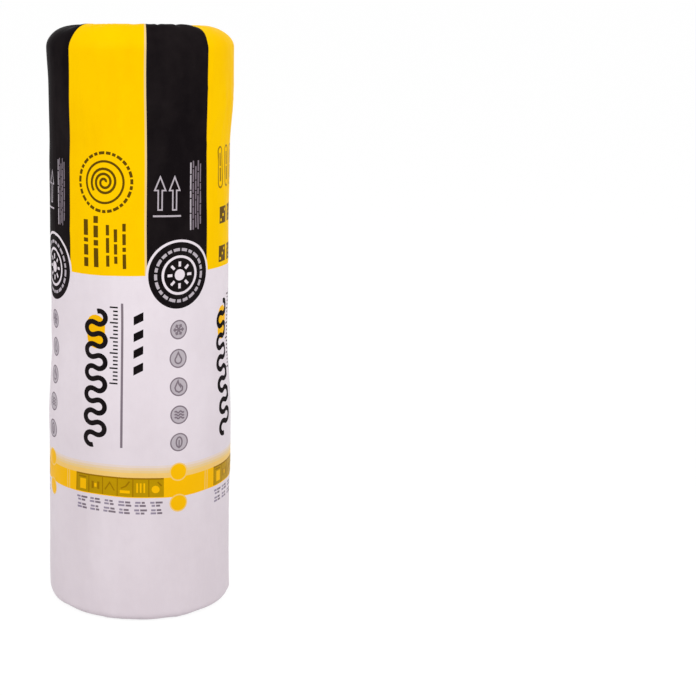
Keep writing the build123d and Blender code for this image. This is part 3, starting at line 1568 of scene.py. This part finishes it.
@dataclass
class WoundWool:
    """The wound blanket: its body, the turns that show on both ends, and loose fibres.

    A bevel is a list of points on a corner of the body, each by how far it is in from the
    side and how far it is from the end face. A turn's crest is pressed flatter past a share
    of its height, and the sink's range is in pitches in from the turns' outer edge. The
    fluff's layers are pairs of a scale to the metre and a share of the fluff.

    Fibres are counted to the square metre and lie where the wool faces out of the end. The
    middle and the end of a fibre are shares of its length, and its spins are in radians.
    """

    shape: RollShape
    finish: WoolFinish = WoolFinish("wool")
    fibre_finish: WoolFinish = WoolFinish(
        "wool_fibre", (241, 198, 168), (252, 228, 206), (226, 172, 138)
    )
    under_film: float = 4.6
    end_depth: float = 17.0
    side_reach: Span = (6.0, -14.0)
    side_rows: int = 60
    foot_bevel: tuple[Pair, ...] = ((16.0, 0.0), (5.0, 7.0))
    top_bevel: tuple[Pair, ...] = ((9.0, 19.0), (32.0, 0.0))
    end_rings: tuple[float, ...] = (60.0, 110.0)
    body_steps: int = 128
    eye: float = 15.0
    eye_rows: int = 50
    eye_tufts: Swell = Swell(1.6, 9.0, 14.0, 3.3)
    pitch: float = 16.0
    turns_reach: float = 104.0
    turn_height: float = 10.0
    turn_step: float = 2.1
    turn_sink: float = 1.0
    outer_sink: float = 9.0
    fluff: float = 3.6
    fluff_layers: tuple[Pair, ...] = ((15.0, 1.4), (60.0, 0.6), (170.0, 0.6), (450.0, 0.6))
    spiral_steps: int = 120
    turn_sides: int = 24
    crest_start: float = 0.6
    crest_press: float = 0.5
    sink_range: Span = (1.5, 0.75)
    fibre_density: float = 150000.0
    fibre_length: float = 8.5
    fibre_radius: float = 0.11
    fibre_root: float = 0.6
    fibre_steps: int = 3
    fibre_middle: Triple = (0.45, 0.0, 0.34)
    fibre_end: Triple = (1.0, 0.18, 0.1)
    fibre_scales: Span = (0.35, 1.15)
    fibre_spins: tuple[Triple, Triple] = ((-0.35, -0.55, 0.0), (0.35, 0.35, 6.283))
    fibres_upward: float = 0.35
    fibres_reach: float = 86.0
    fibres_inset: float = 1.5

    def section(self) -> list[Pair]:
        """The closed line that is turned into the body.

        Returns:
            The radius and the height of its points.
        """
        shape = self.shape
        above, below = self.side_reach
        levels = np.linspace(shape.low + above, shape.high + below, self.side_rows)
        radii = shape.side_radius(levels) - self.under_film
        low, high = self.end_depth, shape.height - self.end_depth
        flat = (self.eye, *self.end_rings)
        line = [(radius, low) for radius in flat]
        line += [(radii[0] - inward, low + up) for inward, up in self.foot_bevel]
        line += list(zip(radii, levels))
        line += [(radii[-1] - inward, high - down) for inward, down in self.top_bevel]
        line += [(radius, high) for radius in reversed(flat)]
        return line + [(self.eye, level) for level in np.linspace(high, low, self.eye_rows)[1:-1]]

    def body(self) -> bpy.types.Mesh:
        """Turns the closed body with its uneven eye.

        Returns:
            The mesh.
        """
        line, steps = self.section(), self.body_steps
        turn = np.arange(steps) * 2 * pi / steps
        rings = [wrapped(turn, radius, np.full(steps, level)) for radius, level in line]
        faces = []
        for i in range(len(line)):
            here, ahead = i * steps, (i + 1) % len(line) * steps
            for k in range(steps):
                m = (k + 1) % steps
                faces.append((here + k, here + m, ahead + m, ahead + k))
        places = np.vstack(rings)
        inner = np.hypot(places[:, 0], places[:, 1]) < self.eye + 1
        pull = np.where(inner, self.eye_tufts.over(places) / self.eye, 0.0)
        return new_mesh("wool_body", (places + pull[:, None] * places * (1, 1, 0)) * MM, faces)

    def turns_tree(self) -> GeometryGraph:
        """The tree that lays the turns of the winding on one end.

        Returns:
            The tree, with named inputs for its sizes.
        """
        sizes = ("Inner Radius", "Outer Radius", "Pitch", "Turn Height", "Turn Step")
        graph = GeometryGraph("wool_turns", (*sizes, "Level", "Fluff", "Sink", "Outward"))
        given = graph.given
        inner, outer, pitch = given["Inner Radius"], given["Outer Radius"], given["Pitch"]
        spiral = graph.node(
            "GeometryNodeCurveSpiral",
            {},
            {
                "Resolution": self.spiral_steps,
                "Rotations": (outer - inner) / pitch,
                "Start Radius": inner + pitch * 0.5,
                "End Radius": outer + pitch * 0.5,
                "Height": 0.0,
            },
        )
        even = graph.node(
            "GeometryNodeResampleCurve",
            {"mode": "LENGTH"},
            {"Curve": spiral, "Length": given["Turn Step"]},
        )
        ring = graph.node(
            "GeometryNodeCurvePrimitiveCircle", {}, {"Resolution": self.turn_sides, "Radius": 1.0}
        )
        wide = graph.vector(given["Turn Height"], pitch * 0.5, 1.0)
        profile = graph.node("GeometryNodeTransform", {}, {"Geometry": ring, "Scale": wide})
        moved = graph.moved(graph.tube(even, profile), graph.vector(z=given["Level"]))
        graph.close(self.matted(graph, moved))
        return graph

    def matted(self, graph: GeometryGraph, turns: Socket) -> Socket:
        """Flattens the turns' crests, roughens them and sinks the outer ones.

        Args:
            graph: the tree that the turns are in.
            turns: the smooth turns.

        Returns:
            The matted turns.
        """
        given = graph.given
        outer, pitch, outward = given["Outer Radius"], given["Pitch"], given["Outward"]
        place = graph.node("GeometryNodeInputPosition")
        rise = (place.part(2) - given["Level"]) * outward
        over = rise - given["Turn Height"] * self.crest_start
        over = over.maths("MAXIMUM", over, 0.0)
        moved = graph.moved(turns, graph.vector(z=over * outward * -self.crest_press))
        for scale, share in self.fluff_layers:
            grain = graph.grain(place, scale, output=1)
            centred = graph.vector_maths("SUBTRACT", {0: grain, 1: (NOISE_MEAN,) * 3})
            push = graph.vector_maths("SCALE", {0: centred, "Scale": given["Fluff"] * share})
            moved = graph.moved(moved, push)
        start, end = self.sink_range
        past = graph.node(
            "ShaderNodeMapRange",
            {"interpolation_type": "SMOOTHSTEP"},
            {
                "Value": graph.from_axis(place),
                "From Min": outer - pitch * start,
                "From Max": outer - pitch * end,
            },
        )
        moved = graph.moved(moved, graph.vector(z=past * given["Sink"] * outward * -1.0))
        return graph.node("GeometryNodeSetShadeSmooth", {}, {"Geometry": moved})

    def strand(self, graph: GeometryGraph) -> Socket:
        """One short curved fibre, which starts at the origin.

        Args:
            graph: the tree that needs it.

        Returns:
            The fibre as a thin tube.
        """
        length = graph.given["Length"]
        line = graph.node(
            "GeometryNodeCurveQuadraticBezier",
            {},
            {
                "Resolution": self.fibre_steps,
                "Start": graph.vector(z=graph.given["Root"] * -1.0),
                "Middle": graph.vector(*(length * share for share in self.fibre_middle)),
                "End": graph.vector(*(length * share for share in self.fibre_end)),
            },
        )
        values = {"Resolution": self.fibre_steps, "Radius": graph.given["Thickness"]}
        return graph.tube(line, graph.node("GeometryNodeCurvePrimitiveCircle", {}, values))

    def fibre_tree(self) -> GeometryGraph:
        """The tree that scatters short curved fibres over the turns.

        Returns:
            The tree, with named inputs for its sizes.
        """
        sizes = ("Density", "Length", "Thickness", "Root", "Reach", "Outward", "Low", "High")
        graph = GeometryGraph("wool_fibres", sizes, starts=True)
        given = graph.given
        place = graph.node("GeometryNodeInputPosition")
        upward = graph.node("GeometryNodeInputNormal").part(2) * given["Outward"]
        chosen = (upward > self.fibres_upward) * (graph.from_axis(place) < given["Reach"])
        points = graph.node(
            "GeometryNodeDistributePointsOnFaces",
            {},
            {
                "Mesh": given["Geometry"],
                "Selection": chosen,
                "Density": given["Density"],
                "Seed": SEED,
            },
        )
        size = graph.node(
            "FunctionNodeRandomValue",
            {"data_type": "FLOAT"},
            {2: self.fibre_scales[0], 3: self.fibre_scales[1], "Seed": SEED + 1},
            1,
        )
        spin = graph.node(
            "FunctionNodeRandomValue",
            {"data_type": "FLOAT_VECTOR"},
            {0: self.fibre_spins[0], 1: self.fibre_spins[1], "Seed": SEED + 2},
        )
        turned = graph.node(
            "FunctionNodeRotateRotation",
            {"rotation_space": "LOCAL"},
            {
                0: points.other("Rotation"),
                1: graph.node("FunctionNodeEulerToRotation", {}, {0: spin}),
            },
        )
        scattered = graph.node(
            "GeometryNodeInstanceOnPoints",
            {},
            {
                "Points": points,
                "Instance": self.strand(graph),
                "Rotation": turned,
                "Scale": size,
            },
        )
        real = graph.node("GeometryNodeRealizeInstances", {}, {"Geometry": scattered})
        held = place.part(2).clamped(given["Low"], given["High"])
        pressed = graph.vector(place.part(0), place.part(1), held)
        values = {"Geometry": real, "Position": pressed}
        graph.close(graph.node("GeometryNodeSetPosition", {}, values))
        return graph

    def joined(self, name: str, parts: list[bpy.types.Mesh]) -> bpy.types.Object:
        """Joins meshes of one material into one piece.

        Args:
            name: the piece's name.
            parts: the meshes.

        Returns:
            The piece.
        """
        points, faces, shift = [], [], 0
        for part in parts:
            points += [tuple(v.co) for v in part.vertices]
            faces += [tuple(i + shift for i in p.vertices) for p in part.polygons]
            shift = len(points)
        return placed(name, new_mesh(name, self.shape.leaned(np.array(points) / MM) * MM, faces))

    def build(self) -> tuple[bpy.types.Object, bpy.types.Object]:
        """Makes the wool and its loose fibres.

        Returns:
            The wool piece and the fibre piece.
        """
        wool, strand = self.finish.material(), self.fibre_finish.material()
        turns_tree, fibre_tree = self.turns_tree(), self.fibre_tree()
        height, sink = self.shape.height, self.end_depth + self.turn_sink
        turn_sizes = {
            "Inner Radius": self.eye * MM,
            "Outer Radius": self.turns_reach * MM,
            "Pitch": self.pitch * MM,
            "Turn Height": self.turn_height * MM,
            "Turn Step": self.turn_step * MM,
            "Fluff": self.fluff * MM,
            "Sink": self.outer_sink * MM,
            "Material": wool,
        }
        fibre_sizes = {
            "Density": self.fibre_density,
            "Length": self.fibre_length * MM,
            "Thickness": self.fibre_radius * MM,
            "Root": self.fibre_root * MM,
            "Reach": self.fibres_reach * MM,
            "Low": self.fibres_inset * MM,
            "High": (height - self.fibres_inset) * MM,
            "Material": strand,
        }
        ends, fibres = [], []
        for name, level, outward in (("top", height - sink, 1.0), ("base", sink, -1.0)):
            start = bpy.data.meshes.new(f"start_{name}")
            sizes = turn_sizes | {"Level": level * MM, "Outward": outward}
            turns = turns_tree.grow(f"turns_{name}", start, sizes)
            ends.append(turns)
            sizes = fibre_sizes | {"Outward": outward}
            fibres.append(fibre_tree.grow(f"fibres_{name}", turns, sizes))
        piece = self.joined("wound_wool", [self.body(), *ends])
        piece.data.materials.append(wool)
        tufts = self.joined("loose_fibres", fibres)
        tufts.data.materials.append(strand)
        return piece, tufts


# Studio


@dataclass
class Studio:
    """Camera, pale floor and soft light, in metres."""

    camera_distance: float = 3.1883
    camera_height: float = 1.2529
    pitch_down: float = 12.7
    sensor_width: float = 36.0
    focal_pixels: float = 1556.3
    image_width: float = 696.0
    axis_pixel: float = 139.75
    view_reach: float = 1000.0
    ambient: float = 0.68
    lamp_watts: float = 60.0
    lamp_size: float = 2.6
    lamp_aim: Triple = (0.0, 0.0, 0.8)
    key_place: Triple = (-2.7, -2.5, 3.2)
    fill_place: Triple = (2.8, -2.4, 3.1)
    floor_half: float = 400.0
    floor_grey: float = 0.78
    floor_white: float = 0.8
    floor_lift: float = 0.45

    @staticmethod
    def shown(graph: Graph) -> Socket:
        """1 for a ray that shows the background, straight, in a mirror or through glass."""
        ray = graph.node("ShaderNodeLightPath", output="Is Camera Ray")
        return (ray + ray.other("Is Glossy Ray") + ray.other("Is Transmission Ray")).clamped()

    def camera(self) -> None:
        """Places the camera at the photograph's viewing angle."""
        data = bpy.data.cameras.new("camera")
        data.sensor_width = self.sensor_width
        data.lens = self.focal_pixels * self.sensor_width / self.image_width
        data.shift_x = 0.5 - self.axis_pixel / self.image_width
        data.clip_end = self.view_reach
        item = placed("camera", data)
        item.location = (0.0, -self.camera_distance, self.camera_height)
        item.rotation_euler = (radians(90.0 - self.pitch_down), 0.0, 0.0)
        bpy.context.scene.camera = item

    def floor(self) -> None:
        """Lays a pale floor that shows white to the camera and keeps the shadow."""
        corners = np.array([(-1, -1, 0), (1, -1, 0), (1, 1, 0), (-1, 1, 0)]) * self.floor_half
        piece = placed("floor", new_mesh("floor", corners, [(0, 1, 2, 3)]))
        material, graph = new_material("floor")
        shown, white = self.shown(graph), (1.0, 1.0, 1.0, 1.0)
        grey = (self.floor_grey, self.floor_grey, self.floor_grey, 1.0)
        matt = graph.node("ShaderNodeBsdfDiffuse", {}, {"Color": grey})
        values = {"Color": white, "Strength": shown * self.floor_lift}
        lift = graph.node("ShaderNodeEmission", {}, values)
        lit = graph.node("ShaderNodeAddShader", {}, {0: matt, 1: lift})
        glow = graph.node("ShaderNodeEmission", {}, {"Color": white, "Strength": 1.0})
        values = {0: shown * self.floor_white, 1: lit, 2: glow}
        mixed = graph.node("ShaderNodeMixShader", {}, values)
        graph.node("ShaderNodeOutputMaterial", {}, {"Surface": mixed})
        piece.data.materials.append(material)
        piece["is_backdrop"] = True

    def lamp(self, name: str, place: Triple) -> None:
        """Hangs one soft square lamp that points at the roll.

        Args:
            name: the lamp's name.
            place: where it hangs.
        """
        data = bpy.data.lights.new(name, "AREA")
        data.shape, data.size, data.energy = "SQUARE", self.lamp_size, self.lamp_watts
        item = placed(name, data)
        item.location = place
        aim = Vector(self.lamp_aim) - Vector(place)
        item.rotation_euler = aim.to_track_quat("-Z", "Y").to_euler()

    def sky(self) -> None:
        """Lights the scene evenly from all round, and shows white behind it."""
        world = bpy.data.worlds.new("studio")
        world.use_nodes = True
        bpy.context.scene.world = world
        graph = Graph(world.node_tree)
        strength = self.ambient + self.shown(graph) * (1.0 - self.ambient)
        values = {"Color": (1.0, 1.0, 1.0, 1.0), "Strength": strength}
        background = graph.node("ShaderNodeBackground", {}, values)
        graph.node("ShaderNodeOutputWorld", {}, {"Surface": background})

    def build(self) -> None:
        """Sets up everything round the roll."""
        self.camera()
        self.floor()
        self.lamp("key", self.key_place)
        self.lamp("fill", self.fill_place)
        self.sky()
        bpy.context.scene.view_settings.view_transform = "Standard"


def as_lists(corners: tuple) -> list[list[float]]:
    """Two corners as plain lists of numbers."""
    return [[float(value) for value in corner] for corner in corners]


def main() -> None:
    """Builds the roll and its studio."""
    logging.basicConfig(level=logging.INFO, format="%(name)s: %(message)s")
    cad_box = as_lists(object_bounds())
    Studio().build()
    # The solids reach as far out as the foot and as high as the roll
    foot_radius, _, height = (round(reach / MM, 1) for reach in cad_box[1])
    shape = RollShape(height, foot_radius)
    wrapper = FilmWrapper(shape)
    film = wrapper.build()
    wool, tufts = WoundWool(shape).build()
    for piece, slot in ((film, "film"), (wool, "wool"), (tufts, "wool")):
        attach(piece, BODY)
        log.info("%s: %d faces", piece.name, len(piece.data.polygons))
    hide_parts("film_wrapper")
    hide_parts("wool_roll")
    wrapper.flat


if __name__ == "__main__":
    main()
